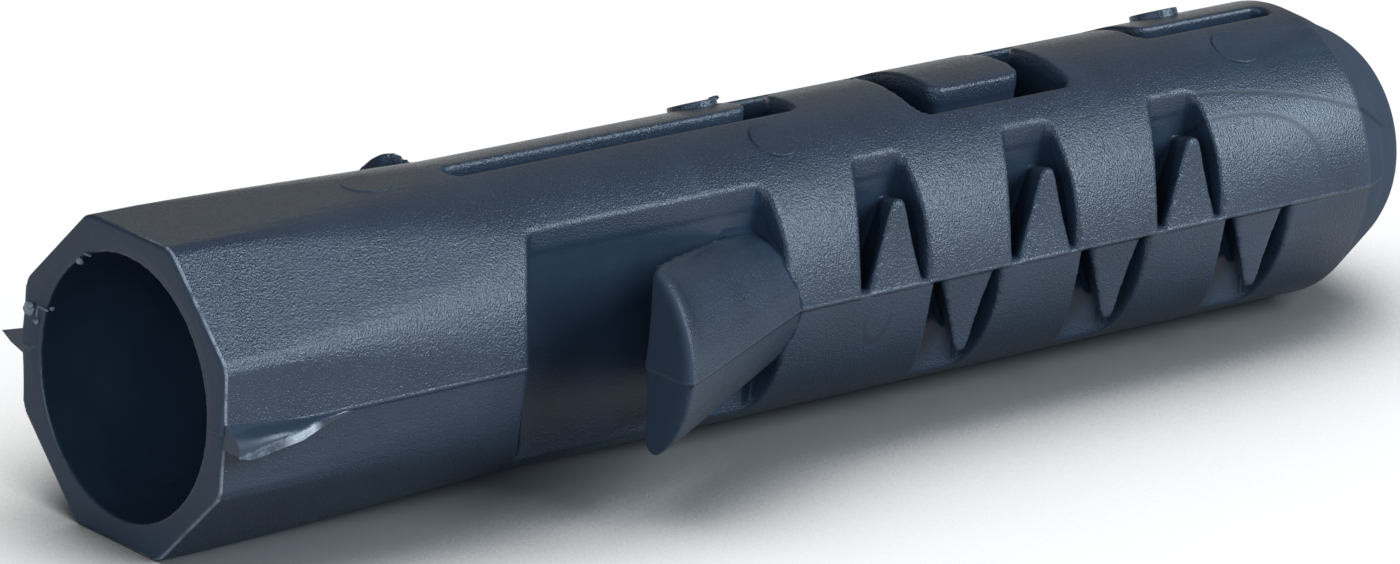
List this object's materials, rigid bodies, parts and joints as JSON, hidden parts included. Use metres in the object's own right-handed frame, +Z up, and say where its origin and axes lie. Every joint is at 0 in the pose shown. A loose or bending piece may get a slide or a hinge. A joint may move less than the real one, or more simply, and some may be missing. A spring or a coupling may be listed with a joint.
{
  "type": "wall plug",
  "caption": "Moulded nylon wall plug: round split sleeve with an octagonal open mouth, side wings, barbs in pockets, interlocking tongues and a closed rounded nose.",
  "frame": {"origin": "on the ground under the middle of the plug's length, the plug lying on its side with its wings level", "axes": "+X along the plug's axis from the mouth to the nose, +Z up, wings to -Y and +Y"},
  "size_m": [0.04, 0.0134, 0.0077],
  "materials": {
    "dark_nylon": "fine spark-eroded grain"
  },
  "bodies": {
    "root": {"wall_plug": "dark_nylon"}
  },
  "joints": []
}
